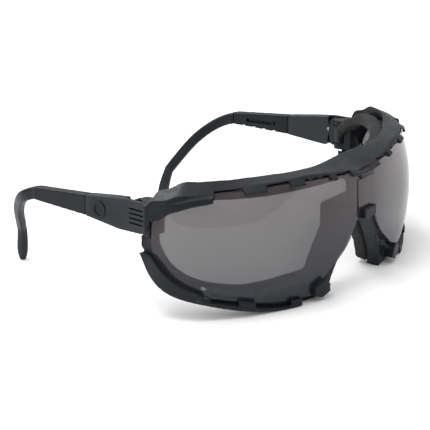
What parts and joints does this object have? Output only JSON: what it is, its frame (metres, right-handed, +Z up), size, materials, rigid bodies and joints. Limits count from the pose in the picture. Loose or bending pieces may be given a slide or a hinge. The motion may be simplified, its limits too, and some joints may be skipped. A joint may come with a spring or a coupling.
{
  "type": "safety glasses",
  "caption": "Wrap-around safety glasses with one tinted lens, a foam-lined carrier and folding temples that tilt and change length.",
  "frame": {"origin": "on the surface the open glasses stand on, under the middle of their bounding box", "axes": "+Z up, the front faces -Y, the temples run back along +Y, +X is the wearer's left"},
  "size_m": [0.146, 0.138, 0.0506],
  "materials": {
    "front_plastic": "satin black",
    "temple_plastic": "satin black",
    "tinted_lens": "grey tint, hard coated",
    "foam": "closed-cell foam",
    "soft_tip": "soft matt",
    "steel_pin": "plain"
  },
  "bodies": {
    "front": {"brow_frame": "front_plastic", "lens": "tinted_lens", "gasket_carrier": "front_plastic", "foam_gasket": "foam", "hinge_pin_left": "steel_pin", "hinge_pin_right": "steel_pin"},
    "hinge_right": {"hinge_block_right": "temple_plastic"},
    "temple_right": {"temple_housing_right": "temple_plastic", "temple_sleeve_right": "temple_plastic", "emblem_cap_right": "temple_plastic", "tilt_pin_right": "steel_pin", "length_detent_right": "steel_pin"},
    "arm_right": {"temple_arm_right": "temple_plastic", "temple_tip_right": "soft_tip"},
    "hinge_left": {"hinge_block_left": "temple_plastic"},
    "temple_left": {"temple_housing_left": "temple_plastic", "temple_sleeve_left": "temple_plastic", "emblem_cap_left": "temple_plastic", "tilt_pin_left": "steel_pin", "length_detent_left": "steel_pin"},
    "arm_left": {"temple_arm_left": "temple_plastic", "temple_tip_left": "soft_tip"}
  },
  "joints": [
    {"name": "fold_right", "type": "hinge", "parent": "front", "child": "hinge_right", "pos_m": [-0.06417, -0.01378, 0.0363], "axis": [0, 0.0506, -0.9987], "range_deg": [0, 90]},
    {"name": "tilt_right", "type": "hinge", "parent": "hinge_right", "child": "temple_right", "pos_m": [-0.06687, -0.00763, 0.03732], "axis": [0.9978, -0.0662, -0.0034], "range_deg": [-6, 6]},
    {"name": "length_right", "type": "slide", "parent": "temple_right", "child": "arm_right", "axis": [0.0662, 0.9978, 0.0049], "range_m": [0, 0.012]},
    {"name": "fold_left", "type": "hinge", "parent": "front", "child": "hinge_left", "pos_m": [0.06417, -0.01378, 0.0363], "axis": [0, -0.0506, 0.9987], "range_deg": [0, 78]},
    {"name": "tilt_left", "type": "hinge", "parent": "hinge_left", "child": "temple_left", "pos_m": [0.06687, -0.00763, 0.03732], "axis": [0.9978, 0.0662, 0.0034], "range_deg": [-6, 6]},
    {"name": "length_left", "type": "slide", "parent": "temple_left", "child": "arm_left", "axis": [-0.0662, 0.9978, 0.0049], "range_m": [0, 0.012]}
  ]
}
